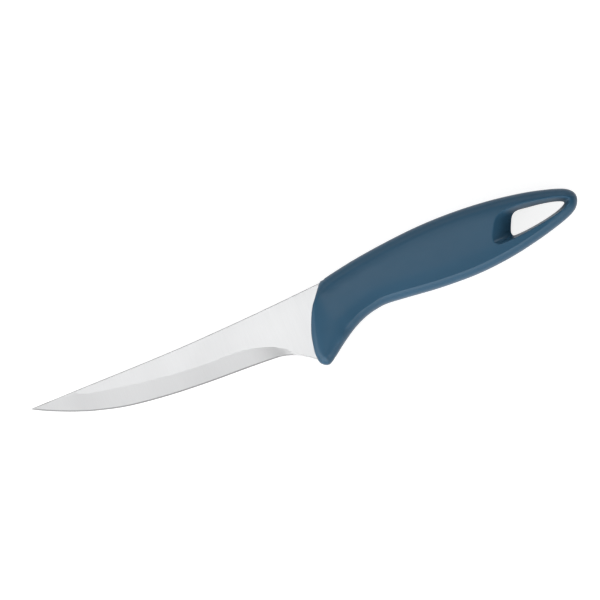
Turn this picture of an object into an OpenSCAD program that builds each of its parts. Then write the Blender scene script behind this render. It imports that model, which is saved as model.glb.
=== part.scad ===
// Small kitchen knife with an upswept utility blade and a moulded handle.
// It lies on its side: X runs from the tip to the butt, Y up to the spine
// and Z across the thickness, with the two rest faces at Z = 0 and at the top.

/* [Handle] */
// Length of the handle from its front edge to its butt
grip_length = 120.8; // [112:0.2:132]
// Depth of the handle from the tip of its guard to the top of its back
grip_depth = 37.2; // [34.6:0.2:41]
// Thickness of the handle across its two flat rests
grip_thickness = 14; // [13:0.2:16]
// Distance of the crease along the belly from the outline
crease_inset = 2.6; // [1.8:0.1:3.2]
// Distance of that crease below the ridge of the crown
crease_drop = 0.8; // [0.4:0.1:1.4]
// Width of the rounding along the back
back_inset = 4.6; // [3:0.1:5.2]
// Width of the rounding along the front edge, beside the blade
front_inset = 1.2; // [0.6:0.1:1.8]
// Width of the rounding round the butt
butt_inset = 3.4; // [2.4:0.1:4]
// Half the height of the straight wall where the two mould halves meet
parting_wall = 0.7; // [0.3:0.1:1.2]

/* [Blade] */
// Reach of the blade from the front edge of the handle to the tip
blade_reach = 113.6; // [95:0.2:135]
// Depth of the blade from the lowest of its spine to the edge before the heel
blade_depth = 18.9; // [16:0.1:20]
// Dip of the spine below the point where it enters the handle
spine_dip = 2.1; // [1:0.1:3]
// Thickness of the steel
stock = 1.5; // [1.2:0.1:2]
// Thickness left behind the cutting edge by the main bevels
bevel_thickness = 0.3; // [0.2:0.02:0.5]
// Width of the fine bevel that is honed along the edge
hone_width = 0.5; // [0.3:0.05:0.8]
// Thickness of the honed edge itself
edge_thickness = 0.06; // [0.04:0.01:0.1]
// Steepest angle of the bevel where it runs out at the heel
plunge_angle = 12; // [9:1:20]
// Angle of the honed bevel on each side
hone_angle = 20; // [15:1:25]

/* [Tang and core] */
// Depth of the tang that runs inside the handle
tang_depth = 9.6; // [8:0.2:11]
// Diameter of the holes that lock the plastic through the tang
lock_hole = 5; // [3:0.1:6]
// Number of those holes
lock_count = 3; // [1:1:4]
// Thickness of the outer moulding over the core
skin = 3.6; // [3:0.1:4.4]
// Length of core beyond the end of the tang
core_cover = 3; // [2:0.2:5]
// Height of the cross ribs that key the core into the outer moulding
rib_rise = 1; // [0.6:0.1:1.4]
// Width of each cross rib
rib_width = 2; // [1.4:0.1:3]
// Number of cross ribs
rib_count = 6; // [3:1:8]
// Gap that shrinkage leaves round the steel and between the two mouldings
shrink_gap = 0.05; // [0.03:0.01:0.15]

/* [Hidden] */
// How far a cutting shape runs past what it cuts
overrun = 2;
// Steps between two chosen points of a curve
curve_steps = 4;
// Steps round an edge of the handle and across its face
edge_steps = 4;
face_steps = 3;
// Facets round a hole in the tang and round a corner of it
hole_facets = 48;
corner_facets = 6;

half = grip_thickness / 2;
half_stock = stock / 2;
butt_x = (blade_reach + grip_length) / 2;
front_x = butt_x - grip_length;

// How far the rim of the face lies below the ridge along the back, front, guard and butt
back_drop = 0.8;
front_drop = 0.8;
guard_drop = 0.45;
butt_drop = 0.6;
// Width of the rounding round the guard
guard_inset = 1.9;

// Height of a rounding as a share of the way from the parting wall up to the rim
full_share = 1;
front_share = 0.3;

// Turn of each rounding before it meets the face: where it stops short it leaves a crease
back_arc = 78;
front_arc = 76;
nose_arc = 66;
crease_arc = 52;

// Outline of the handle, from the guard along the belly, round the butt and back along
// the top to the front edge, as shares of its length and depth
guard_shares = [[0, 0.13], [0.006, 0.045], [0.03, 0], [0.061, 0.055]];
belly_shares = [
    [0.09, 0.122], [0.115, 0.176], [0.14, 0.226], [0.165, 0.27], [0.19, 0.305],
    [0.215, 0.331], [0.245, 0.351], [0.285, 0.361], [0.36, 0.335], [0.47, 0.293],
    [0.6, 0.272], [0.72, 0.297], [0.83, 0.357], [0.925, 0.433]
];
butt_shares = [[0.972, 0.493], [0.994, 0.565], [1, 0.64], [0.991, 0.706], [0.966, 0.764]];
back_shares = [
    [0.003, 0.226], [0.0175, 0.407], [0.047, 0.607], [0.076, 0.73], [0.105, 0.852],
    [0.12, 0.866], [0.14, 0.884], [0.24, 0.937], [0.36, 0.978], [0.48, 1],
    [0.6, 0.993], [0.72, 0.957], [0.83, 0.896], [0.91, 0.829]
];

// Ridge that both faces crown toward, with its height as a share of half the thickness
ridge_shares = [
    [0.03, 0.1, 0.68], [0.047, 0.175, 0.75], [0.067, 0.293, 0.86], [0.093, 0.417, 0.96],
    [0.12, 0.5, 1.01], [0.147, 0.575, 1.02], [0.166, 0.594, 1.02], [0.19, 0.618, 1.02],
    [0.275, 0.65, 1.02], [0.38, 0.653, 1.02], [0.49, 0.645, 1.02], [0.605, 0.634, 1.02],
    [0.72, 0.63, 1.02], [0.83, 0.627, 1.01], [0.912, 0.632, 0.96], [0.948, 0.634, 0.92]
];

// Hang hole: its narrowest outline at mid thickness, and its mouth level with the rests
throat_shares = [
    [0.792, 0.503], [0.846, 0.519], [0.901, 0.549], [0.936, 0.581], [0.954, 0.618],
    [0.937, 0.656], [0.892, 0.695], [0.838, 0.723], [0.799, 0.737], [0.779, 0.706],
    [0.765, 0.629], [0.755, 0.556], [0.755, 0.52], [0.761, 0.503]
];
mouth_shares = [
    [0.784, 0.462], [0.849, 0.485], [0.909, 0.514], [0.951, 0.551], [0.973, 0.616],
    [0.953, 0.673], [0.901, 0.723], [0.84, 0.762], [0.778, 0.78], [0.728, 0.749],
    [0.699, 0.629], [0.685, 0.532], [0.688, 0.485], [0.707, 0.454]
];

// Spine of the blade: share of the reach from the handle, and of the dip
spine_shares = [[0.04, 0.59], [0.22, 0.23], [0.42, 0], [0.6, 0.05], [0.8, 0.23], [1, 0.38]];
// Points along the edge, as shares of the reach and the depth, and across from each
// the point where its bevel begins
edge_shares = [
    [0.95, 0.124], [0.88, 0.32], [0.835, 0.429], [0.79, 0.527], [0.68, 0.707], [0.54, 0.834],
    [0.39, 0.912], [0.23, 0.961], [0.13, 1], [0.104, 1.025], [0.083, 1.061], [0.067, 1.098]
];
grind_shares = [
    [0.963, -0.394], [0.916, -0.268], [0.851, -0.077], [0.81, 0.098], [0.769, 0.166],
    [0.667, 0.293], [0.533, 0.431], [0.386, 0.532], [0.227, 0.58], [0.139, 0.732],
    [0.105, 0.841], [0.0785, 0.963], [0.0635, 1.086]
];
// Ricasso between the end of the edge and the heel, as shares of that stretch
ricasso_shares = [[0.303, 0.256], [0.671, 0.626], [1, 1]];
// Where the heel and the spine meet the outline of the handle
heel_share = 0.1;
entry_shares = [0.105, 0.852];
// Blade inside the handle, from the heel up to the tang, as shares of the handle
root_shares = [[0.02, 0.083], [0.04, 0.105], [0.055, 0.21], [0.075, 0.36], [0.1, 0.47]];
// Start of the full tang below the root, and its middle line
tang_start_share = 0.145;
tang_line_share = 0.62;
// Rounding of the tang's end as a share of its depth
tang_radius_share = 0.3;
// The core fills the handle between these ribs
core_first_rib = 3;
core_last_rib = 11.25;

// Point between b and c of the smooth curve through a, b, c and d
function between(a, b, c, d, t) =
    0.5 * (2 * b + (c - a) * t + (2 * a - 5 * b + 4 * c - d) * pow(t, 2)
    + (3 * b - a - 3 * c + d) * pow(t, 3));

// Smooth curve through a list of points, open or closed
function open_curve(k) = let (last = len(k) - 1) [
    for (i = [0:last - 1], j = [0:curve_steps - 1])
        between(k[max(i - 1, 0)], k[i], k[i + 1], k[min(i + 2, last)], j / curve_steps),
    k[last]
];
function closed_curve(k) = let (n = len(k)) [
    for (i = [0:n - 1], j = [0:curve_steps - 1])
        between(k[(i + n - 1) % n], k[i], k[(i + 1) % n], k[(i + 2) % n], j / curve_steps)
];

// Plain helpers for points
function xy(p) = [p.x, p.y];
function unit_of(v) = v / norm(v);
function mix(a, b, t) = a + (b - a) * t;
function reversed(list) = [for (i = [len(list) - 1:-1:0]) list[i]];
function raised(points, z) = [for (p = points) [p.x, p.y, z]];
function on_grip(s) = [front_x + s.x * grip_length, (s.y - 1 / 2) * grip_depth];

// Outline moved outward by a distance; its points run anticlockwise
function outset(points, distance) = let (n = len(points)) [
    for (i = [0:n - 1])
        let (along = unit_of(points[(i + 1) % n] - points[(i + n - 1) % n]))
        points[i] + distance * [along.y, -along.x]
];

// Faces between equal rings of points that are numbered one after the other
function band_faces(ring_count, n) = [
    for (r = [0:ring_count - 2], i = [0:n - 1])
        let (a = r * n + i, b = r * n + (i + 1) % n)
        each [[a, a + n, b], [b, a + n, b + n]]
];

// Closed solid through a list of rings
module loft(rings) {
    n = len(rings[0]);
    last = (len(rings) - 1) * n;
    caps = [[for (i = [0:n - 1]) i], [for (i = [n - 1:-1:0]) last + i]];
    polyhedron([for (ring = rings) each ring], concat(band_faces(len(rings), n), caps));
}

// Edge styles: width of the rounding, drop of its rim, its height as a share, and its arc
front_style = [front_inset, front_drop, front_share, front_arc];
nose_style = [guard_inset, guard_drop, full_share, nose_arc];
guard_style = [guard_inset, guard_drop, full_share, crease_arc];
belly_style = [crease_inset, crease_drop, full_share, crease_arc];
back_style = [back_inset, back_drop, full_share, back_arc];
butt_style = [butt_inset, butt_drop, full_share, back_arc];

// The nose of the guard gives way to its underside, that to the belly, and the front edge
// to the back, after so many ribs
nose_ribs = 2;
guard_ribs = 2;
front_ribs = 4;
rib_total = len(belly_shares);

function styled(shares, first_style, count, second_style) = [
    for (i = [0:len(shares) - 1])
        concat(on_grip(shares[i]), i < count ? first_style : second_style)
];
outline_knots = concat(
    styled(guard_shares, nose_style, nose_ribs, guard_style),
    styled(belly_shares, guard_style, guard_ribs, belly_style),
    styled(butt_shares, butt_style, len(butt_shares), butt_style),
    reversed(styled(back_shares, front_style, front_ribs, back_style))
);
outline = closed_curve(outline_knots);

// Ridge points, and which of them each point of the outline faces
ridge = open_curve([for (s = ridge_shares) [each on_grip(s), half * s.z]]);
rib_numbers = concat(
    [for (s = guard_shares) 0], [for (i = [1:rib_total]) i],
    [for (s = butt_shares) rib_total + 1], [for (i = [rib_total:-1:1]) i]
);
function facing(i) = let (
    n = len(rib_numbers),
    from = rib_numbers[floor(i / curve_steps)],
    to = rib_numbers[(floor(i / curve_steps) + 1) % n]
) from * curve_steps + (to - from) * (i % curve_steps);

// Section of the handle's upper half at one point of the outline, from the middle up
function section(knot, top) = let (
    inset = knot[2], arc = knot[5], rim = top.z - knot[3],
    rise = (rim - parting_wall) * knot[4],
    inward = unit_of(xy(top) - xy(knot)),
    inner = xy(knot) + inward * inset
) concat(
    [for (k = [0:edge_steps])
        let (
            turn = arc * k / edge_steps,
            p = xy(knot) + inward * inset * (1 - cos(turn)) / (1 - cos(arc))
        )
        [p.x, p.y, rim - rise + rise * sin(turn) / sin(arc)]],
    [for (k = [1:face_steps - 1])
        let (t = k / face_steps, p = mix(inner, xy(top), t))
        [p.x, p.y, mix(rim, top.z, 1 - pow(1 - t, 2))]]
);
sections = [for (i = [0:len(outline) - 1]) section(outline[i], ridge[facing(i)])];
half_rings = [for (k = [0:edge_steps + face_steps - 1]) [for (s = sections) s[k]]];

// Crowned body of the handle, before it is trimmed flat, about the middle of its thickness
module crowned_body() {
    n = len(outline);
    below = [for (ring = reversed(half_rings)) [for (p = ring) [p.x, p.y, -p.z]]];
    rings = concat(below, half_rings);
    top_ring = (len(rings) - 1) * n;
    top_ridge = len(rings) * n;
    low_ridge = top_ridge + len(ridge);
    points = concat(
        [for (ring = rings) each ring], ridge, [for (p = ridge) [p.x, p.y, -p.z]]
    );
    ends = [
        for (i = [0:n - 1])
            let (j = (i + 1) % n, p = facing(i), q = facing(j))
            each concat(
                [[top_ring + i, top_ridge + p, top_ring + j], [i, j, low_ridge + p]],
                p == q ? [] : [
                    [top_ring + j, top_ridge + p, top_ridge + q],
                    [j, low_ridge + q, low_ridge + p]
                ]
            )
    ];
    polyhedron(points, concat(band_faces(len(rings), n), ends));
}

// Flat trim that leaves a rest face on each side
module rest_trim() {
    size = [grip_length + overrun * 2, grip_depth + overrun * 2, grip_thickness];
    translate([front_x + grip_length / 2, 0, 0]) cube(size, center = true);
}

// Drafted hole through the handle, widest at the mouths
module hang_hole() {
    throat = closed_curve([for (s = throat_shares) on_grip(s)]);
    mouth = closed_curve([for (s = mouth_shares) on_grip(s)]);
    past = 1 + overrun / half;
    wide = [for (i = [0:len(throat) - 1]) mix(throat[i], mouth[i], past)];
    height = half * past;
    loft([raised(wide, -height), raised(throat, 0), raised(wide, height)]);
}

// Anchor points of the blade
entry = on_grip(entry_shares);
level = entry.y - spine_dip;
function on_blade(s) = [front_x - s.x * blade_reach, level - s.y * blade_depth];
spine_knots = concat(
    [entry], [for (s = spine_shares) [front_x - s.x * blade_reach, level + s.y * spine_dip]]
);
tip = spine_knots[len(spine_knots) - 1];
edge_knots = concat([tip], [for (s = edge_shares) on_blade(s)]);
grind_knots = [for (s = grind_shares) on_blade(s)];
edge_end = edge_knots[len(edge_knots) - 1];
heel = on_grip([0, heel_share]);
ricasso_knots = [
    for (s = ricasso_shares) [mix(edge_end.x, heel.x, s.x), mix(edge_end.y, heel.y, s.y)]
];

// Outline of the core: an even skin inside the handle's own outline
function rib_low(step) = outline[len(guard_shares) * curve_steps + step - curve_steps];
function rib_high(step) = outline[len(outline) - step];
function under_skin(p, step) = xy(p) + unit_of(xy(ridge[step]) - xy(p)) * skin;
core_steps = [for (step = [core_first_rib * curve_steps:core_last_rib * curve_steps]) step];
core_outline = concat(
    [for (step = core_steps) under_skin(rib_low(step), step)],
    reversed([for (step = core_steps) under_skin(rib_high(step), step)])
);

// Tang, about its middle line
tang_y = on_grip([0, tang_line_share]).y;
tang_start = on_grip([tang_start_share, 0]).x;
core_end = core_outline[len(core_steps) - 1].x;
tang_end = core_end - core_cover;
tang_low = tang_y - tang_depth / 2;
tang_high = tang_y + tang_depth / 2;
tang_radius = tang_depth * tang_radius_share;
shoulder_radius = entry.y - tang_high;
function arc(centre, radius, from, to) = [
    for (k = [0:corner_facets])
        let (a = mix(from, to, k / corner_facets)) centre + radius * [cos(a), sin(a)]
];

// Outline of the whole blade, anticlockwise from where the spine enters the handle
blade_outline = concat(
    open_curve(spine_knots),
    [for (p = open_curve(concat(edge_knots, ricasso_knots, [on_grip(root_shares[0])])))
        if (p != tip) p],
    [for (p = open_curve(concat(
        [for (s = root_shares) on_grip(s)], [[tang_start, tang_low]]
    ))) if (p != on_grip(root_shares[0])) p],
    arc([tang_end - tang_radius, tang_low + tang_radius], tang_radius, -90, 0),
    arc([tang_end - tang_radius, tang_high - tang_radius], tang_radius, 0, 90),
    [for (p = arc(entry + [shoulder_radius, 0], shoulder_radius, 270, 180)) if (p.y < entry.y) p]
);

// Blank of the blade, with a gap all round where it is wanted
module blade_blank(gap = 0) {
    linear_extrude(stock + gap * 2, center = true)
        polygon(gap == 0 ? blade_outline : outset(blade_outline, gap));
}

// Round holes along the tang
module lock_holes(shrink = 0) {
    pitch = (tang_end - tang_start) / lock_count;
    for (i = [0:lock_count - 1])
        translate([tang_start + pitch * (i + 1 / 2), tang_y, 0])
            cylinder(h = stock + overrun * 2, d = lock_hole - shrink * 2, center = true,
                $fn = hole_facets);
}

// Stations of the grind, midway between the points of each line, with a lead past the tip
function led(list) = concat([2 * list[0] - list[1]], list);
function midway(list) = [for (i = [1:len(list) - 1]) (list[i - 1] + list[i]) / 2];
edge_line = midway(led(open_curve(edge_knots)));
grind_line = midway(led(open_curve(grind_knots)));

// Solid above one ground side. Each ring starts past the grind line, above the steel, and
// comes back down the honed bevel from past the edge to the knee where the main bevel ends
module ground_side() {
    ceiling = half_stock + overrun;
    rings = [
        for (i = [0:len(edge_line) - 1])
            let (
                across = edge_line[i] - grind_line[i],
                width = norm(across),
                past = across * overrun / width,
                high = grind_line[i] - past,
                far = edge_line[i] + past,
                hone = min(hone_width, width / 2),
                knee = edge_line[i] - across * hone / width,
                left = max(bevel_thickness / 2, half_stock - tan(plunge_angle) * width),
                fall = (half_stock - left) / width,
                knee_z = left + fall * hone,
                drop = min(tan(hone_angle), (knee_z - edge_thickness / 2) / hone)
            )
            [
                [high.x, high.y, half_stock + fall * overrun],
                [high.x, high.y, ceiling],
                [far.x, far.y, ceiling],
                [far.x, far.y, knee_z - drop * (hone + overrun)],
                [knee.x, knee.y, knee_z]
            ]
    ];
    loft(rings);
}

// Core with its cross ribs, and a gap all round where it is wanted
module core_body(gap = 0) {
    points = gap == 0 ? core_outline : outset(core_outline, gap);
    depth = (half - skin) * 2;
    pitch = (core_end - tang_start) / rib_count;
    linear_extrude(depth + gap * 2, center = true) polygon(points);
    intersection() {
        linear_extrude(depth + (rib_rise + gap) * 2, center = true) polygon(points);
        for (i = [0:rib_count - 1])
            translate([tang_start + pitch * (i + 1 / 2), 0, 0])
                cube([rib_width + gap * 2, grip_depth, grip_thickness], center = true);
    }
}

// One ground and honed piece of steel with its hidden tang
module blade() {
    color([0.86, 0.87, 0.88])
        translate([0, 0, half])
            difference() {
                blade_blank();
                lock_holes();
                ground_side();
                mirror([0, 0, 1]) ground_side();
            }
}

// Inner moulding, with the tang and its holes filled
module handle_core() {
    color([0.17, 0.27, 0.35])
        translate([0, 0, half])
            difference() {
                core_body();
                difference() {
                    blade_blank(shrink_gap);
                    lock_holes(shrink_gap);
                }
            }
}

// Outer moulding: guard, creased belly, rounded back, rests and hang hole
module handle_grip() {
    color([0.27, 0.38, 0.46])
        translate([0, 0, half])
            difference() {
                intersection() {
                    crowned_body();
                    rest_trim();
                }
                core_body(shrink_gap);
                blade_blank(shrink_gap);
                hang_hole();
            }
}

blade();
handle_core();
handle_grip();
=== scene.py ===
"""A small kitchen knife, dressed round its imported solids: the ground blade, the moulded handle
and the plain white table that it lies on. Shapes are worked out in millimetres and turned into
metres when a mesh is built. Angles are degrees, apart from those that math.radians gives."""

import math

import bmesh
import bpy
import numpy as np
from mathutils import Matrix, Vector
from mathutils.bvhtree import BVHTree
from mathutils.geometry import delaunay_2d_cdt


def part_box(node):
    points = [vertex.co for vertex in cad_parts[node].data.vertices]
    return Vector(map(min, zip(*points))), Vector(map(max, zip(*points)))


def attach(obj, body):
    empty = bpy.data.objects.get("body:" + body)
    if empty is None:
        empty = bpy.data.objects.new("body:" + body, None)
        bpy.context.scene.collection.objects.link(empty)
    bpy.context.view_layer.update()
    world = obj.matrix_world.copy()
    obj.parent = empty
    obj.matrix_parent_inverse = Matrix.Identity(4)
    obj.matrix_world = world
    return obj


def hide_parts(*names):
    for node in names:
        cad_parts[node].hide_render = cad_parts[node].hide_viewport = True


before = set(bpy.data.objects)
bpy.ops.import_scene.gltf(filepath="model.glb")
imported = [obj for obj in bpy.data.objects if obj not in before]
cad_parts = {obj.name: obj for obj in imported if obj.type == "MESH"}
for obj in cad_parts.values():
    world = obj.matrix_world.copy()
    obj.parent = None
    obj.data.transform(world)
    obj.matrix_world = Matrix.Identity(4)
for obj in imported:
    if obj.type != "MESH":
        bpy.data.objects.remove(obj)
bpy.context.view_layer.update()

MM = 0.001

# Driving sizes of the handle
GRIP_THICKNESS = 14.0
GRIP_DEPTH = 37.2
PARTING_WALL = 0.7
SHRINK_GAP = 0.05

# Driving sizes of the blade and its tang
STOCK = 1.5
BLADE_DEPTH = 18.9
SPINE_DIP = 2.1
BEVEL_THICKNESS = 0.3
EDGE_THICKNESS = 0.06
HONE_WIDTH = 0.5
HONE_SLOPE = math.tan(math.radians(20))
PLUNGE_SLOPE = math.tan(math.radians(12))
SPINE_ROUND = 0.42
TANG_DEPTH = 9.6
LOCK_HOLE = 5.0
LOCK_COUNT = 3

# Fine finish of the handle: the bead that the mould leaves where its halves part, as how far
# in and how high its rings lie, one more ring near the middle of the wall, the slot for the
# blade with its chamfer, and the lip of the hang hole
BEAD = 0.06
BEAD_RINGS = [(0, 0), (BEAD * 0.3, 0.05), (BEAD, 0.11)]
MIDDLE_SHARE, MIDDLE_RISE = 0.5, 0.08
SLOT_DEPTH = 1.4
CHAMFER_IN, CHAMFER_UP = 0.05, 0.06
MOUTH_FILLET = 0.4

# Finish of the blade: its rounding goes at most this share of the way down to mid thickness
# and takes at most this share of a rule across the ground side. The spine's own points start
# this far from the last rule that it cuts
EASE_SHARE = 0.6
RULE_SHARE = 1 / 3
CUT_CLEARANCE = 0.3

# Steps of the smooth surfaces
CURVE_STEPS = 16
EDGE_STEPS = 14
FACE_STEPS = 12
HOLE_STEPS = 14
WALL_STEPS = 10
FILLET_STEPS = 8
LINE_STEPS = 24
ROOT_STEPS = 6
BEVEL_ROWS = 6
ROUND_STEPS = 4
ARC_STEPS = 12
CIRCLE_STEPS = 48

# Rings of the wall below the rounded edge, rings up to its crease, the least distance that
# they keep from the hole and the distance between the points of the face
WALL_RINGS = len(BEAD_RINGS) + 1
EDGE_RINGS = WALL_RINGS + EDGE_STEPS + 1
HOLE_MARGIN = 0.8
FACE_GRAIN = 0.42

# Edges that turn more than this stay sharp in the shading
HANDLE_SHARP = math.radians(24)
BLADE_SHARP = math.radians(2.2)

# Slack in comparisons of places, a length or share too small to matter, and what counts as zero
# in a division
NEAR = 0.01
TINY = 1e-6
ZERO = 1e-12

HALF = GRIP_THICKNESS / 2
HALF_STOCK = STOCK / 2


def corners(node):
    """Lowest and highest corner of a solid."""
    low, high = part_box(node)
    return np.array(low) / MM, np.array(high) / MM


grip_low, grip_high = corners("handle_grip")
blade_low, blade_high = corners("blade")

FRONT_X = grip_low[0]
GRIP_LENGTH = grip_high[0] - grip_low[0]
BLADE_REACH = FRONT_X - blade_low[0]
TANG_END = blade_high[0]

# Shares of the handle's length and depth. Each row of the first four is a place on
# the outline. The outline runs anticlockwise from the nose of the guard, and the rows of the
# back run the other way, from the guard to the butt
GUARD_SHARES = [(0, 0.13), (0.006, 0.045), (0.03, 0), (0.061, 0.055)]
BELLY_SHARES = [
    (0.09, 0.122), (0.115, 0.176), (0.14, 0.226), (0.165, 0.27), (0.19, 0.305),
    (0.215, 0.331), (0.245, 0.351), (0.285, 0.361), (0.36, 0.335), (0.47, 0.293),
    (0.6, 0.272), (0.72, 0.297), (0.83, 0.357), (0.925, 0.433),
]
BUTT_SHARES = [(0.972, 0.493), (0.994, 0.565), (1, 0.64), (0.991, 0.706), (0.966, 0.764)]
BACK_SHARES = [
    (0.003, 0.226), (0.0175, 0.407), (0.047, 0.607), (0.076, 0.73), (0.105, 0.852),
    (0.12, 0.866), (0.14, 0.884), (0.24, 0.937), (0.36, 0.978), (0.48, 1),
    (0.6, 0.993), (0.72, 0.957), (0.83, 0.896), (0.91, 0.829),
]
# Ridge that the sides rise to, with its height as a share of half the thickness
RIDGE_SHARES = [
    (0.03, 0.1, 0.68), (0.047, 0.175, 0.75), (0.067, 0.293, 0.86), (0.093, 0.417, 0.96),
    (0.12, 0.5, 1.01), (0.147, 0.575, 1.02), (0.166, 0.594, 1.02), (0.19, 0.618, 1.02),
    (0.275, 0.65, 1.02), (0.38, 0.653, 1.02), (0.49, 0.645, 1.02), (0.605, 0.634, 1.02),
    (0.72, 0.63, 1.02), (0.83, 0.627, 1.01), (0.912, 0.632, 0.96), (0.948, 0.634, 0.92),
]
# Hang hole at mid thickness and at its mouths
THROAT_SHARES = [
    (0.792, 0.503), (0.846, 0.519), (0.901, 0.549), (0.936, 0.581), (0.954, 0.618),
    (0.937, 0.656), (0.892, 0.695), (0.838, 0.723), (0.799, 0.737), (0.779, 0.706),
    (0.765, 0.629), (0.755, 0.556), (0.755, 0.52), (0.761, 0.503),
]
MOUTH_SHARES = [
    (0.784, 0.462), (0.849, 0.485), (0.909, 0.514), (0.951, 0.551), (0.973, 0.616),
    (0.953, 0.673), (0.901, 0.723), (0.84, 0.762), (0.778, 0.78), (0.728, 0.749),
    (0.699, 0.629), (0.685, 0.532), (0.688, 0.485), (0.707, 0.454),
]
HEEL_SHARE = 0.1
ENTRY_SHARES = (0.105, 0.852)

# Shares of the blade: the spine as shares of its reach and dip, the edge and the
# grind line as shares of reach and depth, the ricasso as shares of the way to the heel
SPINE_SHARES = [(0.04, 0.59), (0.22, 0.23), (0.42, 0), (0.6, 0.05), (0.8, 0.23), (1, 0.38)]
EDGE_SHARES = [
    (0.95, 0.124), (0.88, 0.32), (0.835, 0.429), (0.79, 0.527), (0.68, 0.707), (0.54, 0.834),
    (0.39, 0.912), (0.23, 0.961), (0.13, 1), (0.104, 1.025), (0.083, 1.061), (0.067, 1.098),
]
GRIND_SHARES = [
    (0.963, -0.394), (0.916, -0.268), (0.851, -0.077), (0.81, 0.098), (0.769, 0.166),
    (0.667, 0.293), (0.533, 0.431), (0.386, 0.532), (0.227, 0.58), (0.139, 0.732),
    (0.105, 0.841), (0.0785, 0.963), (0.067, 1.098),
]
RICASSO_SHARES = [(0.303, 0.256), (0.671, 0.626), (1, 1)]

# Root and tang inside the handle, as shares of the handle; the radius is a share of the depth
ROOT_SHARES = [(0.02, 0.083), (0.04, 0.105), (0.055, 0.21), (0.075, 0.36), (0.1, 0.47)]
TANG_START_SHARE = 0.145
TANG_LINE_SHARE = 0.62
TANG_RADIUS_SHARE = 0.3

# Edge styles: width of the rounding, drop of its rim below the ridge, its height as a share of
# the way from the parting wall to the rim, and its arc
FRONT_STYLE = (1.2, 0.6, 0.3, 76)
RIM_STYLE = (1.9, 0.7, 0.7, 52)
NOSE_STYLE = (1.9, 0.7, 0.9, 58)
GUARD_STYLE = (1.9, 0.7, 1, 52)
BELLY_STYLE = (2.6, 1.0, 1, 52)
BACK_STYLE = (4.6, 0.8, 1, 78)
BUTT_STYLE = (3.4, 0.6, 1, 78)


def on_grip(shares):
    """Place at shares of the handle's length and depth."""
    s = np.asarray(shares, float)
    return np.array([FRONT_X + s[0] * GRIP_LENGTH, (s[1] - 0.5) * GRIP_DEPTH])


def styled(shares, style):
    """Places on the outline with the style of their edge."""
    return [(*on_grip(s), *style) for s in shares]


outline_knots = (
    styled(GUARD_SHARES[:2], NOSE_STYLE)
    + styled(GUARD_SHARES[2:] + BELLY_SHARES[:2], GUARD_STYLE)
    + styled(BELLY_SHARES[2:], BELLY_STYLE)
    + styled(BUTT_SHARES, BUTT_STYLE)
    + styled(BACK_SHARES[:3:-1], BACK_STYLE)
    + styled(BACK_SHARES[3:1:-1], FRONT_STYLE)
    + styled(BACK_SHARES[1::-1], RIM_STYLE)
)
# Rib that each of those places lies on; each rib faces its own point of the ridge
RIBS = len(BELLY_SHARES)
rib_numbers = (
    [0] * len(GUARD_SHARES)
    + list(range(1, RIBS + 1))
    + [RIBS + 1] * len(BUTT_SHARES)
    + list(range(RIBS, 0, -1))
)
entry = on_grip(ENTRY_SHARES)
heel = on_grip((0, HEEL_SHARE))
level = entry[1] - SPINE_DIP
tang_line = on_grip((0, TANG_LINE_SHARE))[1]
tang_start = on_grip((TANG_START_SHARE, 0))[0]


def on_blade(shares):
    """Place at shares of the blade's reach and depth, from the lowest point of the spine."""
    reach, depth = shares
    return np.array([FRONT_X - reach * BLADE_REACH, level - depth * BLADE_DEPTH])


# Curves and plane geometry
def between(a, b, c, d, t):
    """Point between b and c of the smooth curve through a, b, c and d."""
    square = 2 * a - 5 * b + 4 * c - d
    cube = 3 * b - a - 3 * c + d
    return 0.5 * (2 * b + (c - a) * t + square * t**2 + cube * t**3)


def open_curve(knots, steps):
    """Points of the smooth curve from the first knot to the last."""
    k = np.asarray(knots, float)
    last = len(k) - 1
    points = [
        between(k[max(i - 1, 0)], k[i], k[i + 1], k[min(i + 2, last)], j / steps)
        for i in range(last)
        for j in range(steps)
    ]
    return np.array(points + [k[last]])


def closed_curve(knots, steps):
    """Points of the smooth loop through the knots."""
    k = np.asarray(knots, float)
    n = len(k)
    return np.array([
        between(k[(i - 1) % n], k[i], k[(i + 1) % n], k[(i + 2) % n], j / steps)
        for i in range(n)
        for j in range(steps)
    ])


def arc(centre, radius, start, end, steps=ARC_STEPS):
    """Points of an arc of a circle."""
    angles = np.radians(np.linspace(start, end, steps + 1))
    return centre + radius * np.column_stack([np.cos(angles), np.sin(angles)])


def unit(v):
    """Vectors at a length of one."""
    return v / np.maximum(np.linalg.norm(v, axis=-1, keepdims=True), ZERO)


def inward_normals(points, closed=True):
    """Unit normals to the left of a line of points, inward where it runs anticlockwise."""
    if closed:
        along = np.roll(points, -1, 0) - np.roll(points, 1, 0)
    else:
        along = np.gradient(points, axis=0)
    along = unit(along)
    return np.stack([-along[:, 1], along[:, 0]], 1)


def inside(points, polygon):
    """Which points lie inside a polygon."""
    x, y = points[:, 0], points[:, 1]
    result = np.zeros(len(points), bool)
    for a, b in zip(polygon, np.roll(polygon, -1, 0)):
        if a[1] == b[1]:
            continue
        crosses = (a[1] > y) != (b[1] > y)
        result ^= crosses & (x < (b[0] - a[0]) * (y - a[1]) / (b[1] - a[1]) + a[0])
    return result


def sparse(points, apart):
    """Indices of points that keep a least distance from those before them."""
    cells, kept = {}, []
    for i, (x, y) in enumerate(points):
        cx, cy = math.floor(x / apart), math.floor(y / apart)
        near = (
            q for a in (-1, 0, 1) for b in (-1, 0, 1) for q in cells.get((cx + a, cy + b), ())
        )
        if all((points[q][0] - x) ** 2 + (points[q][1] - y) ** 2 >= apart**2 for q in near):
            cells.setdefault((cx, cy), []).append(i)
            kept.append(i)
    return kept


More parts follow.
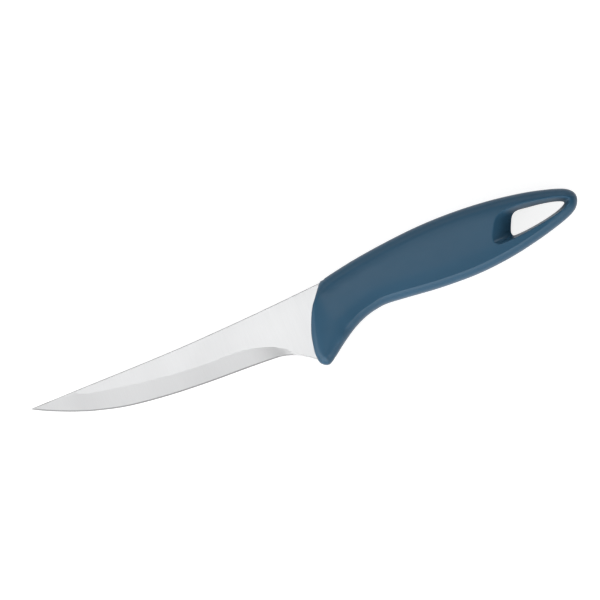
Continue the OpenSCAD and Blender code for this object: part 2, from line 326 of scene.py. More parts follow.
class Builder:
    """Points and faces of the upper half of a piece, which is mirrored when it is built."""

    # Points closer than this, in millimetres in plan and metres in the mesh, are one point; a
    # slit of at most so many sides is filled
    MERGE = 1e-7
    LARGEST_SLIT = 8

    def __init__(self):
        self.points = []
        self.faces = []
        self.kinds = []

    def add(self, points):
        """Add points and give their numbers."""
        first = len(self.points)
        self.points.extend([tuple(map(float, p)) for p in points])
        return list(range(first, len(self.points)))

    def face(self, corners, kind=0):
        """Add a face of one kind of material; corners that coincide count once."""
        if len(set(corners)) >= 3:
            self.faces.append([c for i, c in enumerate(corners) if c != corners[i - 1]])
            self.kinds.append(kind)

    def band(self, low, high, closed=True, kind=0):
        """Quads between two rings of equal length, the second to the left of the first."""
        n = len(low)
        for i in range(n if closed else n - 1):
            j = (i + 1) % n
            self.face([low[i], low[j], high[j], high[i]], kind)

    def fill(self, loops, free=(), kind=0):
        """Triangles between closed loops of existing points, the first one outside."""
        index = [i for loop in loops for i in loop] + list(free)
        flat = [Vector(self.points[i][:2]) for i in index]
        edges, start = [], 0
        for loop in loops:
            n = len(loop)
            edges += [(start + i, start + (i + 1) % n) for i in range(n)]
            start += n
        verts, _, triangles, source, _, _ = delaunay_2d_cdt(flat, edges, [], 0, self.MERGE)
        back = [index[min(s)] if s else None for s in source]
        middle = np.array([np.mean([verts[v] for v in t], axis=0) for t in triangles])
        keep = inside(middle, np.array([self.points[i][:2] for i in loops[0]]))
        for loop in loops[1:]:
            keep &= ~inside(middle, np.array([self.points[i][:2] for i in loop]))
        for t, wanted in zip(triangles, keep):
            if wanted and all(back[v] is not None for v in t):
                self.face([back[v] for v in t], kind)

    def whole_mesh(self, name):
        """Both halves as one mesh in metres, resting on the table."""
        top = np.array(self.points)
        n = len(top)
        points = np.concatenate([top, top * [1, 1, -1]])
        points[:, 2] += HALF
        faces = self.faces + [[i + n for i in reversed(f)] for f in self.faces]
        mesh = bpy.data.meshes.new(name)
        mesh.from_pydata((points * MM).tolist(), [], faces)
        mesh.polygons.foreach_set("material_index", self.kinds * 2)
        return mesh

    def build(self, name, materials, sharp_angle):
        """The finished piece: merged, closed, shaded and with its materials."""
        mesh = self.whole_mesh(name)
        bm = bmesh.new()
        bm.from_mesh(mesh)
        bmesh.ops.remove_doubles(bm, verts=bm.verts, dist=self.MERGE)
        bmesh.ops.dissolve_degenerate(bm, edges=bm.edges, dist=self.MERGE / 10)
        loose = [v for v in bm.verts if not v.link_faces]
        bmesh.ops.delete(bm, geom=loose, context="VERTS")
        slits = [e for e in bm.edges if e.is_boundary]
        bmesh.ops.holes_fill(bm, edges=slits, sides=self.LARGEST_SLIT)
        bmesh.ops.recalc_face_normals(bm, faces=bm.faces)
        for face in bm.faces:
            face.smooth = True
        for edge in bm.edges:
            if len(edge.link_faces) == 2:
                edge.smooth = edge.calc_face_angle(0) < sharp_angle
        bm.to_mesh(mesh)
        bm.free()
        for material in materials:
            mesh.materials.append(material)
        piece = bpy.data.objects.new(name, mesh)
        bpy.context.scene.collection.objects.link(piece)
        return piece


# The handle
def cap(z, limit=HALF, soft=0.3):
    """Height that levels off smoothly just below the rest face."""
    gap = np.maximum(soft - np.abs(z - limit), 0) / soft
    return np.minimum(z, limit) - gap**2 * soft / 4


def ridge_facing():
    """Ridge point that each station of the outline faces."""
    knots = np.array([(*on_grip(s), HALF * s[2]) for s in RIDGE_SHARES])
    last = len(knots) - 1
    found = []
    for i, start in enumerate(rib_numbers):
        end = rib_numbers[(i + 1) % len(rib_numbers)]
        for j in range(CURVE_STEPS):
            at = start + (end - start) * j / CURVE_STEPS
            k = min(int(at), last - 1)
            a, b, c, d = (knots[min(max(m, 0), last)] for m in (k - 1, k, k + 1, k + 2))
            found.append(between(a, b, c, d, at - k))
    return np.array(found)


def in_slot(at):
    """Which stations lie on the front edge, from the entry of the blade down to the heel."""
    # The outline comes back to the front edge along the back and starts on it, at the nose
    knot = np.arange(len(at)) // CURVE_STEPS
    front = (knot < 1) | (knot >= len(outline_knots) - len(BACK_SHARES))
    above_heel = (at[:, 1] > heel[1]) & (at[:, 1] <= entry[1] + NEAR)
    return front & above_heel & (at[:, 0] <= entry[0])


def wall_rings(at, inward, wall_top):
    """Rings of the parting wall, with its bead and with the slot that the blade goes into."""
    slotted = in_slot(at)
    roof = HALF_STOCK + SHRINK_GAP
    middle = wall_top * MIDDLE_SHARE + MIDDLE_RISE
    plain = BEAD_RINGS + [(BEAD, middle)]
    slot = [
        (SLOT_DEPTH, 0), (SLOT_DEPTH, roof),
        (BEAD + CHAMFER_IN, roof), (BEAD, roof + CHAMFER_UP),
    ]
    rings = []
    for (offset, z), (slot_offset, slot_z) in zip(plain, slot):
        in_by = np.where(slotted, slot_offset, offset)[:, None]
        rings.append(np.column_stack([at + inward * in_by, np.where(slotted, slot_z, z)]))
    return rings


def handle_rings():
    """Rings of the upper half, from mid thickness round the edge and up to the ridge."""
    stations = closed_curve(outline_knots, CURVE_STEPS)
    at = np.clip(stations[:, :2], grip_low[:2], grip_high[:2])
    width, drop, share, turned = stations[:, 2:].T
    top = ridge_facing()
    inward = unit(top[:, :2] - at)
    rim = top[:, 2] - drop
    rise = (rim - PARTING_WALL) * share
    rings = wall_rings(at, inward, rim - rise)
    full_turn = np.radians(turned)
    for k in range(EDGE_STEPS + 1):
        turn = full_turn * k / EDGE_STEPS
        in_by = BEAD + (width - BEAD) * (1 - np.cos(turn)) / (1 - np.cos(full_turn))
        z = rim - rise + rise * np.sin(turn) / np.sin(full_turn)
        rings.append(np.column_stack([at + inward * in_by[:, None], z]))
    inner = at + inward * width[:, None]
    for k in range(1, FACE_STEPS + 1):
        t = k / FACE_STEPS
        z = rim + (top[:, 2] - rim) * (1 - (1 - t) ** 2)
        rings.append(np.column_stack([inner + (top[:, :2] - inner) * t, z]))
    for ring in rings:
        ring[:, 2] = cap(ring[:, 2])
    return rings


def surface_tree(rings):
    """The surface through closed rings, ready to drop points on."""
    n = len(rings[0])
    quads = [
        (r * n + i, r * n + (i + 1) % n, (r + 1) * n + (i + 1) % n, (r + 1) * n + i)
        for r in range(len(rings) - 1)
        for i in range(n)
    ]
    return BVHTree.FromPolygons([Vector(p) for p in np.concatenate(rings)], quads)


def heights_on(tree, points):
    """Height of a surface at each point, found from well above it."""
    found = []
    for x, y in points:
        hit = tree.ray_cast(Vector((x, y, 3 * HALF)), Vector((0, 0, -1)))[0]
        if hit is None:
            hit = tree.find_nearest(Vector((x, y, HALF)))[0]
        found.append(hit.z)
    return np.array(found)


def hole_rings(tree, tries=12):
    """Rings of the hang hole, from the throat up the draft and round the lip onto the face,
    and the lip's outward normals."""
    throat = closed_curve([on_grip(s) for s in THROAT_SHARES], HOLE_STEPS)
    mouth = closed_curve([on_grip(s) for s in MOUTH_SHARES], HOLE_STEPS)
    outward = -inward_normals(mouth)
    # Where the wall meets the face, found by walking up the draft
    share = np.ones(len(throat))
    for _ in range(tries):
        share = heights_on(tree, throat + (mouth - throat) * share[:, None]) / HALF
    rim = throat + (mouth - throat) * share[:, None]
    start = share - MOUTH_FILLET / np.hypot(np.linalg.norm(mouth - throat, axis=1), HALF)
    rings = []
    for k in range(WALL_STEPS + 1):
        s = start * k / WALL_STEPS
        rings.append(np.column_stack([throat + (mouth - throat) * s[:, None], HALF * s]))
    lip = rim + outward * MOUTH_FILLET
    first, corner = rings[-1], np.column_stack([rim, HALF * share])
    last = np.column_stack([lip, heights_on(tree, lip)])
    for k in range(1, FILLET_STEPS + 1):
        t = k / FILLET_STEPS
        rings.append(first * (1 - t) ** 2 + corner * 2 * t * (1 - t) + last * t**2)
    return rings, outward


def edge_faces(b, rings, ids, keep_out):
    """Faces of the wall and the rounded edge, each station only as far in as it stays clear of
    the hole. Gives the points of their inner rim."""
    n = len(ids[0])
    kept = np.full(n, EDGE_RINGS - 1)
    for r in range(EDGE_RINGS - 1, WALL_RINGS, -1):
        kept[inside(rings[r][:, :2], keep_out)] = r - 1
    reach = np.minimum(kept, np.roll(kept, -1))
    rim = []
    for i in range(n):
        j = (i + 1) % n
        for r in range(reach[i]):
            b.face([ids[r][i], ids[r][j], ids[r + 1][j], ids[r + 1][i]])
        step = 1 if reach[i] >= reach[i - 1] else -1
        rim += [ids[r][i] for r in range(reach[i - 1], reach[i] + step, step)]
    return rim


def crown_faces(b, surface, rim, lip_ids, outward):
    """Faces of the crowned side, between the rim of the edge and the lip of the hole."""
    rim_at, lip = (np.array([b.points[i][:2] for i in ids]) for ids in (rim, lip_ids))
    points = np.concatenate(surface)
    at = points[:, :2]
    points = points[inside(at, rim_at) & ~inside(at, lip + outward * FACE_GRAIN)]
    fixed = len(rim) + len(lip_ids)
    apart = sparse(np.concatenate([rim_at, lip, points[:, :2]]), FACE_GRAIN)
    free = b.add(points[[i - fixed for i in apart if i >= fixed]])
    b.fill([rim, lip_ids], free)


def build_handle(material):
    """The handle, one closed form from the parting line up and down."""
    b = Builder()
    rings = handle_rings()
    ids = [b.add(ring) for ring in rings[:EDGE_RINGS]]
    surface = rings[WALL_RINGS:]
    hole, outward = hole_rings(surface_tree(surface))
    hole_ids = [b.add(ring) for ring in hole]
    for low, high in zip(hole_ids, hole_ids[1:]):
        b.band(high, low)
    rim = edge_faces(b, rings, ids, hole[-1][:, :2] + outward * HOLE_MARGIN)
    crown_faces(b, surface[1:], rim, hole_ids[-1], outward)
    return b.build("knife_handle", [material], HANDLE_SHARP)


# The blade: its kinds of finish, in the order of its materials
FLAT, GROUND, HONED, ROUNDED = range(4)


def spine_hit(edge, across, spine):
    """Distance from an edge point, along its rule, to the spine, in lengths of the rule."""
    best = None
    for a, c in zip(spine, spine[1:]):
        d = c - a
        det = across[0] * -d[1] + across[1] * d[0]
        if abs(det) < ZERO:
            continue
        r = a - edge
        t = (r[0] * -d[1] + r[1] * d[0]) / det
        s = (across[0] * r[1] - across[1] * r[0]) / det
        if -TINY <= s <= 1 + TINY and t > 100 * TINY and (best is None or t < best):
            best = t
    return best


def rule_height(t, width):
    """Height of the ground surface at a share t of a rule of this width, from the edge."""
    if width < TINY:
        return HALF_STOCK
    left = max(BEVEL_THICKNESS / 2, HALF_STOCK - PLUNGE_SLOPE * width)
    hone = min(HONE_WIDTH, width / 2)
    fall = (HALF_STOCK - left) / width
    if t * width >= hone:
        return min(left + fall * t * width, HALF_STOCK)
    knee = left + fall * hone
    drop = min(HONE_SLOPE, (knee - EDGE_THICKNESS / 2) / hone)
    return knee - drop * (hone - t * width)


class GroundSide:
    """Ground side of the blade: straight rules from its edge to its grind line, which the
    spine cuts short near the tip."""

    def __init__(self, edge, grind, spine):
        self.edge = edge
        self.grind = grind
        self.widths = np.linalg.norm(grind - edge, axis=1)
        self.ends = [0.0]
        for e, g in zip(edge[1:], grind[1:]):
            hit = spine_hit(e, g - e, spine)
            self.ends.append(1.0 if hit is None else min(hit, 1.0))
        self.ends[-1] = 1.0
        self.cut = max(i for i, t in enumerate(self.ends) if t < 1)

    def point(self, i, t):
        """Point at a share t of a rule, from the edge."""
        p = self.edge[i] + (self.grind[i] - self.edge[i]) * t
        return (*p, rule_height(t, self.widths[i]))

    def rounding(self, i):
        """Width of the spine's rounding at the end of a rule."""
        return min(SPINE_ROUND, self.widths[i] * self.ends[i] * RULE_SHARE)

    def row(self, i):
        """Points of a rule, from the edge over the honed bevel up to the spine's rounding."""
        length = self.widths[i] * self.ends[i]
        hone = min(HONE_WIDTH, self.widths[i] / 2, length / 2 if length > 0 else 0)
        top = self.ends[i]
        if i <= self.cut and length > 0:
            top *= 1 - self.rounding(i) / length
        knee = hone / self.widths[i] if self.widths[i] > TINY else 0
        return [self.point(i, t) for t in [0.0, *np.linspace(knee, top, BEVEL_ROWS)]]


def bevel_faces(b, ground):
    """Faces of both bevels and of the edge. Gives the columns of their points, edge first."""
    rows = [ground.row(i) for i in range(len(ground.edge))]
    columns = [b.add([row[k] for row in rows]) for k in range(BEVEL_ROWS + 1)]
    b.band(columns[0], columns[1], closed=False, kind=HONED)
    for low, high in zip(columns[1:], columns[2:]):
        b.band(low, high, closed=False, kind=GROUND)
    foot = b.add([(*p, 0) for p in ground.edge])
    b.band(foot, columns[0], closed=False, kind=HONED)
    return columns


def hidden_outline():
    """Outline inside the handle: root, tang with its rounded end, and shoulder."""
    low, high = tang_line - TANG_DEPTH / 2, tang_line + TANG_DEPTH / 2
    radius = TANG_DEPTH * TANG_RADIUS_SHARE
    shoulder = entry[1] - high
    root = open_curve([on_grip(s) for s in ROOT_SHARES] + [(tang_start, low)], ROOT_STEPS)
    return np.concatenate([
        root[1:],
        arc(np.array([TANG_END - radius, low + radius]), radius, -90, 0),
        arc(np.array([TANG_END - radius, high - radius]), radius, 0, 90),
        arc(entry + [shoulder, 0], shoulder, 270, 180)[:-1],
    ])


def outline_faces(b, ground, columns, uncut):
    """Rounded edge of the blade, along the outline of its flat and then along the rules that
    the spine cuts. Gives the rim of the flat."""
    last_cut = ground.cut
    cut_points = np.array([ground.point(i, ground.ends[i]) for i in range(last_cut + 1)])[::-1]
    line = np.concatenate([uncut, cut_points[:, :2]])
    heights = np.concatenate([np.full(len(uncut), HALF_STOCK), cut_points[:, 2]])
    normals = inward_normals(line, closed=False)
    ease = np.minimum(SPINE_ROUND, heights * EASE_SHARE)
    width = np.full(len(line), SPINE_ROUND)
    for i in range(last_cut + 1):
        width[len(line) - 1 - i] = ground.rounding(i)
    ease[0] = width[0] = 0
    rings = []
    for k in range(ROUND_STEPS + 1):
        turn = math.radians(90 * k / ROUND_STEPS)
        at = line + normals * (width * (1 - math.sin(turn)))[:, None]
        rings.append(np.column_stack([at, heights - ease * (1 - math.cos(turn))]))
    rim = b.add(rings[0])
    # The rounding starts on the rows of the bevel where these end at the spine
    for i in range(last_cut + 1):
        rim[len(line) - 1 - i] = columns[-1][i]
    rim[0] = columns[-1][-1]
    previous = rim
    for k in range(1, ROUND_STEPS + 1):
        ring = b.add(rings[k])
        ring[-1] = columns[0][0]
        if k < ROUND_STEPS:
            ring[0] = columns[-1][-1]
        b.band(ring, previous, closed=False, kind=ROUNDED)
        previous = ring
    wall = b.add([(*p, 0) for p in line])
    b.band(wall, previous, closed=False, kind=ROUNDED)
    return rim


def lock_holes(b):
    """Holes through the tang. Gives their rims on the flat."""
    rims = []
    pitch = (TANG_END - tang_start) / LOCK_COUNT
    for i in range(LOCK_COUNT):
        centre = np.array([tang_start + pitch * (i + 0.5), tang_line])
        circle = arc(centre, LOCK_HOLE / 2, 0, 360, CIRCLE_STEPS)[:-1]
        upper = b.add([(*p, HALF_STOCK) for p in circle])
        lower = b.add([(*p, 0) for p in circle])
        b.band(upper, lower, kind=FLAT)
        rims.append(upper)
    return rims


def map_across(piece):
    """Map that the steel's grinding follows: the piece's own places, seen from above."""
    uv = piece.data.uv_layers.new(name="across")
    loops = np.zeros(len(piece.data.loops), int)
    piece.data.loops.foreach_get("vertex_index", loops)
    places = np.array([v.co for v in piece.data.vertices])
    uv.data.foreach_set("uv", places[loops][:, :2].astype(np.float32).ravel())


def build_blade(materials):
    """The blade with its tang, one closed form."""
    b = Builder()
    spine_knots = [entry] + [
        np.array([FRONT_X - s * BLADE_REACH, level + d * SPINE_DIP]) for s, d in SPINE_SHARES
    ]
    edge_knots = [spine_knots[-1]] + [on_blade(s) for s in EDGE_SHARES]
    edge_end = edge_knots[-1]
    ricasso_knots = [edge_end + (heel - edge_end) * np.array(s) for s in RICASSO_SHARES]
    spine = open_curve(spine_knots, LINE_STEPS)
    lower = open_curve(edge_knots + ricasso_knots + [on_grip(ROOT_SHARES[0])], LINE_STEPS)
    count = (len(edge_knots) - 1) * LINE_STEPS
    grind = open_curve([on_blade(s) for s in GRIND_SHARES], LINE_STEPS)
    ground = GroundSide(lower[: count + 1], grind, spine)
    columns = bevel_faces(b, ground)

    last_cut = ground.cut
    spine_end = ground.point(last_cut, ground.ends[last_cut])[0] + CUT_CLEARANCE
    uncut = np.concatenate([lower[count:], hidden_outline(), spine[spine[:, 0] > spine_end]])
    rim = outline_faces(b, ground, columns, uncut)
    grind_line = [columns[-1][i] for i in range(last_cut, len(ground.edge))]
    b.fill([rim[1 : len(uncut)] + grind_line] + lock_holes(b), kind=FLAT)
    piece = b.build("knife_blade", materials, BLADE_SHARP)
    map_across(piece)
    return piece


# Nodes that materials and the world share
def math_node(tree, operation, *values):
    """Result of a sum or comparison of numbers and outputs."""
    made = tree.nodes.new("ShaderNodeMath")
    made.operation = operation
    for socket, value in zip(made.inputs, values):
        if isinstance(value, (int, float)):
            socket.default_value = value
        else:
            tree.links.new(value, socket)
    return made.outputs[0]


def range_node(tree, value, source, target, kind="LINEAR"):
    """A value moved from one range of numbers to another, and held inside it."""
    made = tree.nodes.new("ShaderNodeMapRange")
    made.interpolation_type = kind
    for name, number in zip(("From Min", "From Max", "To Min", "To Max"), (*source, *target)):
        made.inputs[name].default_value = number
    tree.links.new(value, made.inputs["Value"])
    return made.outputs["Result"]


class Finish:
    """A new material and short calls for its nodes."""

    # Places of the colour sockets of a Mix node, whose other sockets have the same names
    MIX_FIRST, MIX_SECOND, MIX_RESULT = 6, 7, 2
    # Range that nearly all of a noise keeps to
    NOISE_RANGE = (0.3, 0.7)

    def __init__(self, name):
        self.material = bpy.data.materials.new(name)
        self.material.use_nodes = True
        self.tree = self.material.node_tree
        self.inputs = self.tree.nodes["Principled BSDF"].inputs

    def node(self, kind, **values):
        """New node with values for its inputs or settings."""
        made = self.tree.nodes.new(kind)
        for key, value in values.items():
            if key in made.inputs:
                made.inputs[key].default_value = value
            else:
                setattr(made, key, value)
        return made

    def link(self, source, target):
        """Connect an output to an input."""
        self.tree.links.new(source, target)

    def place(self, scale=(1, 1, 1)):
        """Coordinates of the piece itself, stretched by a scale."""
        where = self.node("ShaderNodeTexCoord")
        mapping = self.node("ShaderNodeMapping", Scale=scale)
        self.link(where.outputs["Object"], mapping.inputs["Vector"])
        return mapping.outputs["Vector"]

    def noise(self, place, scale, detail, roughness):
        """Soft noise; the scale is in waves per metre."""
        made = self.node("ShaderNodeTexNoise", Scale=scale, Detail=detail, Roughness=roughness)
        self.link(place, made.inputs["Vector"])
        return made.outputs["Fac"]

    def spread(self, noise, middle, reach):
        """Noise turned into a value that keeps within a reach of the middle."""
        target = (middle - reach, middle + reach)
        return range_node(self.tree, noise, self.NOISE_RANGE, target)

    def mottle(self, noise, colour, reach):
        """The colour, slightly darker and lighter with the noise."""
        mix = self.node("ShaderNodeMix", data_type="RGBA")
        self.link(self.spread(noise, middle=0.5, reach=0.5), mix.inputs[0])
        mix.inputs[self.MIX_FIRST].default_value = (*shade(colour, 1 - reach), 1)
        mix.inputs[self.MIX_SECOND].default_value = (*shade(colour, 1 + reach), 1)
        self.link(mix.outputs[self.MIX_RESULT], self.inputs["Base Color"])

    def relief(self, height, strength, distance):
        """Fine relief on the surface; the distance is in metres."""
        bump = self.node("ShaderNodeBump", Strength=strength, Distance=distance)
        self.link(height, bump.inputs["Height"])
        self.link(bump.outputs["Normal"], self.inputs["Normal"])


def shade(colour, factor):
    """A colour made darker or lighter."""
    return tuple(c * factor for c in colour)


def moulded_plastic(name, colour, roughness):
    """Satin moulded plastic: fine spark texture, slight flow streaks and uneven gloss."""
    m = Finish(name)
    plain = m.place()
    along = m.place(scale=(0.25, 1, 1))
    m.mottle(m.noise(along, scale=90, detail=3, roughness=0.55), colour, reach=0.035)
    gloss = m.noise(plain, scale=240, detail=4, roughness=0.6)
    m.link(m.spread(gloss, roughness, reach=0.025), m.inputs["Roughness"])
    grain = m.noise(plain, scale=3600, detail=2, roughness=0.6)
    m.relief(grain, strength=0.25, distance=0.00002)
    m.inputs["Specular IOR Level"].default_value = 0.27
    return m.material


def ground_steel(name, colour, roughness, streak, lines):
    """Stainless steel ground across the blade: fine lines, uneven polish and faint patches."""
    m = Finish(name)
    across = m.place(scale=(1, lines, lines))
    fine = m.noise(across, scale=5200, detail=3, roughness=0.65)
    coarse = m.noise(across, scale=900, detail=2, roughness=0.5)
    patch = m.noise(m.place(), scale=55, detail=3, roughness=0.5)
    m.mottle(fine, colour, reach=streak)
    polish = m.spread(patch, roughness, reach=0.01)
    uneven = math_node(m.tree, "ADD", m.spread(coarse, middle=0, reach=0.006), polish)
    m.link(uneven, m.inputs["Roughness"])
    m.relief(fine, strength=0.05, distance=0.000004)
    tangent = m.node("ShaderNodeTangent", direction_type="UV_MAP", uv_map="across")
    m.link(tangent.outputs[0], m.inputs["Tangent"])
    m.inputs["Metallic"].default_value = 1.0
    m.inputs["Anisotropic"].default_value = 0.6
    return m.material


# The table: its half width in metres, its own colour, and the levels at which the camera sees
# it and at which other surfaces mirror it
TABLE_REACH = 4.0
TABLE_COLOUR = (0.4, 0.4, 0.4)
TABLE_SEEN, TABLE_MIRRORED = 0.8, 0.5


def table_white():
    """White that keeps shadows: matt paint, with a glow that is only seen and mirrored."""
    material = bpy.data.materials.new("table_white")
    material.use_nodes = True
    tree = material.node_tree
    tree.nodes.clear()
    paint = tree.nodes.new("ShaderNodeBsdfDiffuse")
    paint.inputs["Color"].default_value = (*TABLE_COLOUR, 1)
    path = tree.nodes.new("ShaderNodeLightPath").outputs
    mirrored = math_node(tree, "MAXIMUM", path["Is Glossy Ray"], path["Is Transmission Ray"])
    seen = math_node(tree, "MULTIPLY", path["Is Camera Ray"], TABLE_SEEN)
    strength = math_node(tree, "MULTIPLY_ADD", mirrored, TABLE_MIRRORED, seen)
    glow = tree.nodes.new("ShaderNodeEmission")
    tree.links.new(strength, glow.inputs["Strength"])
    both = tree.nodes.new("ShaderNodeAddShader")
    tree.links.new(paint.outputs[0], both.inputs[0])
    tree.links.new(glow.outputs[0], both.inputs[1])
    out = tree.nodes.new("ShaderNodeOutputMaterial")
    tree.links.new(both.outputs[0], out.inputs["Surface"])
    return material


def table():
    """Plain table under the knife."""
    mesh = bpy.data.meshes.new("table")
    r = TABLE_REACH
    mesh.from_pydata([(-r, -r, 0), (r, -r, 0), (r, r, 0), (-r, r, 0)], [], [(0, 1, 2, 3)])
    mesh.materials.append(table_white())
    piece = bpy.data.objects.new("table", mesh)
    bpy.context.scene.collection.objects.link(piece)


# Levels of the lights and of the room
OVERHEAD = 4.5
HEEL_GLOW = 0.7
SIDE = 3.1
SPINE_GLOW = 1.6
KICKER = 6.0
AMBIENT = 0.03

# The overhead box and the heel's glow, at a height of one above the knife. The box has its
# centre and how far from it the light is full and gone, along and across the knife; the glow
# has its centre and how far from it the light is gone
BOX_CENTRE = (0.0, 0.25)
BOX_ALONG = (-0.02, 0.24)
BOX_ACROSS = (0.1, 0.54)
GLOW_CENTRE = (-0.3, -0.35)
GLOW_REACH = 0.5

# The side box: its azimuth, the turns from it at which it is full and gone, and the same as
# sines of the height. The spine's glow: its azimuth, the cosines of the turn at which it is
# gone and full, and the sines of the heights over which it rises and falls
SIDE_AZIMUTH, SIDE_FULL, SIDE_GONE = 232, 40, 92
SIDE_HEIGHTS = (0.35, 1.0)
SPINE_AZIMUTH = 90
SPINE_TURNS = (0.3, 0.85)
SPINE_RISE, SPINE_FALL = (0.15, 0.3), (0.48, 0.7)

# The kicker: its azimuth and height, and the angles from it at which it is full and gone
KICKER_AZIMUTH, KICKER_HEIGHT = 18, 7
KICKER_FULL, KICKER_GONE = 5, 9


def cosine(angle):
    """Cosine of an angle in degrees."""
    return math.cos(math.radians(angle))


def sine(angle):
    """Sine of an angle in degrees."""
    return math.sin(math.radians(angle))


class Sky:
    """Directions of the world and short calls for its nodes."""

    # Least height, and least length seen from above, that a direction is divided by
    LOWEST, SHORTEST = 0.01, 0.001

    def __init__(self, tree):
        self.tree = tree
        where = tree.nodes.new("ShaderNodeTexCoord")
        split = tree.nodes.new("ShaderNodeSeparateXYZ")
        tree.links.new(where.outputs["Generated"], split.inputs[0])
        self.x, self.y, self.z = split.outputs

    def math(self, operation, *values):
        """Result of a sum or comparison."""
        return math_node(self.tree, operation, *values)

    def ramp(self, value, source, target=(1, 0)):
        """Smooth step from the first target to the second as the value crosses the source."""
        return range_node(self.tree, value, source, target, "SMOOTHSTEP")

    def product(self, first, second):
        """Two values multiplied."""
        return self.math("MULTIPLY", first, second)

    def length(self, first, second):
        """Length of a vector of two parts."""
        squares = self.math("ADD", self.product(first, first), self.product(second, second))
        return self.math("SQRT", squares)

    def overhead(self, centre):
        """Distances along and across the knife from a centre, at a height of one."""
        above = self.math("MAXIMUM", self.z, self.LOWEST)
        return [
            self.math("SUBTRACT", self.math("DIVIDE", part, above), middle)
            for part, middle in zip((self.x, self.y), centre)
        ]

    def facing(self, azimuth):
        """Cosine of the turn between a direction's heading and an azimuth."""
        along = self.math(
            "ADD", self.product(self.x, cosine(azimuth)), self.product(self.y, sine(azimuth))
        )
        flat = self.math("MAXIMUM", self.length(self.x, self.y), self.SHORTEST)
        return self.math("DIVIDE", along, flat)


def overhead_box(sky):
    """Level soft box above the knife, a little beyond its spine."""
    along, across = (sky.math("ABSOLUTE", off) for off in sky.overhead(BOX_CENTRE))
    return sky.product(sky.ramp(along, BOX_ALONG), sky.ramp(across, BOX_ACROSS))


def heel_glow(sky):
    """Weak round glow beside the overhead box, which the end of the bevel mirrors."""
    return sky.ramp(sky.length(*sky.overhead(GLOW_CENTRE)), (0, GLOW_REACH))


def side_box(sky):
    """Large upright soft box on the side of the edge and the tip."""
    turns = (cosine(SIDE_GONE), cosine(SIDE_FULL))
    return sky.product(
        sky.ramp(sky.facing(SIDE_AZIMUTH), turns, (0, 1)), sky.ramp(sky.z, SIDE_HEIGHTS)
    )


def spine_glow(sky):
    """Faint light from low behind the spine."""
    heights = sky.product(sky.ramp(sky.z, SPINE_RISE, (0, 1)), sky.ramp(sky.z, SPINE_FALL))
    return sky.product(sky.ramp(sky.facing(SPINE_AZIMUTH), SPINE_TURNS, (0, 1)), heights)


def kicker(sky):
    """Small bright box low behind the butt."""
    flat = cosine(KICKER_HEIGHT)
    toward = (cosine(KICKER_AZIMUTH) * flat, sine(KICKER_AZIMUTH) * flat, sine(KICKER_HEIGHT))
    x, y, z = (sky.product(part, way) for part, way in zip((sky.x, sky.y, sky.z), toward))
    near = sky.math("ADD", sky.math("ADD", x, y), z)
    return sky.ramp(near, (cosine(KICKER_GONE), cosine(KICKER_FULL)), (0, 1))


def studio_world():
    """A dim room with all the soft lights in it, and plain white behind the knife."""
    world = bpy.data.worlds.new("studio")
    bpy.context.scene.world = world
    world.use_nodes = True
    tree = world.node_tree
    tree.nodes.clear()
    sky = Sky(tree)
    total = AMBIENT
    for light, strength in (
        (overhead_box, OVERHEAD), (heel_glow, HEEL_GLOW), (side_box, SIDE),
        (spine_glow, SPINE_GLOW), (kicker, KICKER),
    ):
        total = sky.math("ADD", sky.product(light(sky), strength), total)
    room, white = (tree.nodes.new("ShaderNodeBackground") for _ in range(2))
    tree.links.new(total, room.inputs["Strength"])
    for background in (room, white):
        background.inputs["Color"].default_value = (1, 1, 1, 1)
    path = tree.nodes.new("ShaderNodeLightPath").outputs
    blend = tree.nodes.new("ShaderNodeMixShader")
    seen = sky.math("MAXIMUM", path["Is Camera Ray"], path["Is Transmission Ray"])
    for source, socket in zip((seen, room.outputs[0], white.outputs[0]), blend.inputs):
        tree.links.new(source, socket)
    out = tree.nodes.new("ShaderNodeOutputWorld")
    tree.links.new(blend.outputs[0], out.inputs["Surface"])


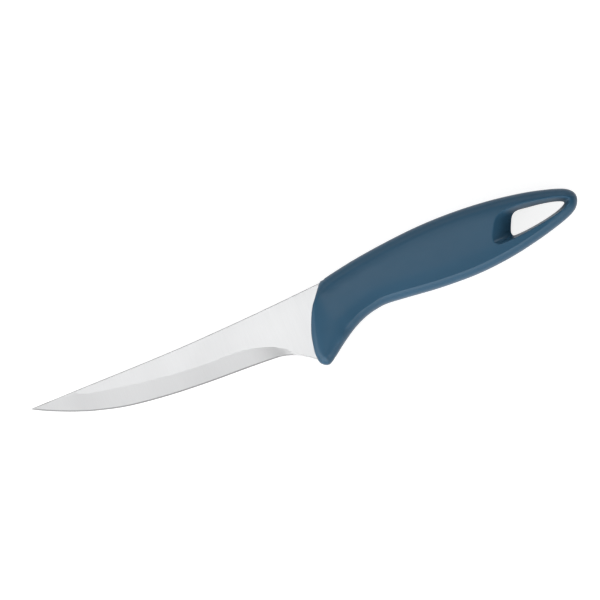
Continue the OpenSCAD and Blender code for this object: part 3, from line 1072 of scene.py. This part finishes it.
# The camera, in metres: width of the picture at the knife, distance, and what it looks at
PICTURE_WIDTH = 0.24
CAMERA_DISTANCE = 1.0
CAMERA_TARGET = Vector((-0.00075, 0.00983, HALF * MM))
CAMERA_TURN = 23
CAMERA_LEAN = 6
SENSOR_WIDTH = 36.0


def camera():
    """Long lens above the knife, leaning to its edge side, with the picture turned."""
    data = bpy.data.cameras.new("camera")
    data.sensor_width = SENSOR_WIDTH
    data.lens = SENSOR_WIDTH * CAMERA_DISTANCE / PICTURE_WIDTH
    piece = bpy.data.objects.new("camera", data)
    back = Vector((0, -sine(CAMERA_LEAN), cosine(CAMERA_LEAN)))
    along = Vector((1, 0, 0))
    up = along * sine(CAMERA_TURN) + back.cross(along) * cosine(CAMERA_TURN)
    turn = Matrix((up.cross(back), up, back)).transposed()
    place = Matrix.Translation(CAMERA_TARGET + back * CAMERA_DISTANCE)
    piece.matrix_world = place @ turn.to_4x4()
    bpy.context.scene.collection.objects.link(piece)
    bpy.context.scene.camera = piece


GRIP_COLOUR = (0.0275, 0.0855, 0.147)
CORE_COLOUR = (0.018, 0.05, 0.09)
STEEL_COLOUR = (0.547, 0.55, 0.555)


def blade_steel():
    """Finishes of the blade: lightness, which differs from facet to facet as painted light and
    shade, roughness, depth of the streaks, and the scale of the grinding lines along themselves."""
    return [
        ground_steel(name, shade(STEEL_COLOUR, painted_lightness), roughness, streak, lines)
        for name, painted_lightness, roughness, streak, lines in (
            ("steel_flat", 1.17, 0.34, 0.02, 0.03),
            # Painted light: the ground bevel is made lighter than the flats, though it is the
            # same steel
            ("steel_ground_painted_light", 1.37, 0.34, 0.02, 0.03),
            # Painted shade: the honed edge is made much darker than the rest of the steel, as a
            # dark line along the edge
            ("steel_honed_painted_shade", 0.65, 0.4, 0.04, 0.05),
            ("steel_rounded", 1.0, 0.34, 0.03, 0.2),
        )
    ]


bpy.context.scene.view_settings.view_transform = "Standard"
camera()
studio_world()
table()

handle = build_handle(moulded_plastic("grip_plastic", GRIP_COLOUR, roughness=0.34))
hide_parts("handle_grip")
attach(handle, "root")

blade = build_blade(blade_steel())
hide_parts("blade")
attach(blade, "root")

core_plastic = moulded_plastic("core_plastic", CORE_COLOUR, roughness=0.5)
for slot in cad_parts["handle_core"].material_slots:
    slot.material = core_plastic

bpy.context.view_layer.update()
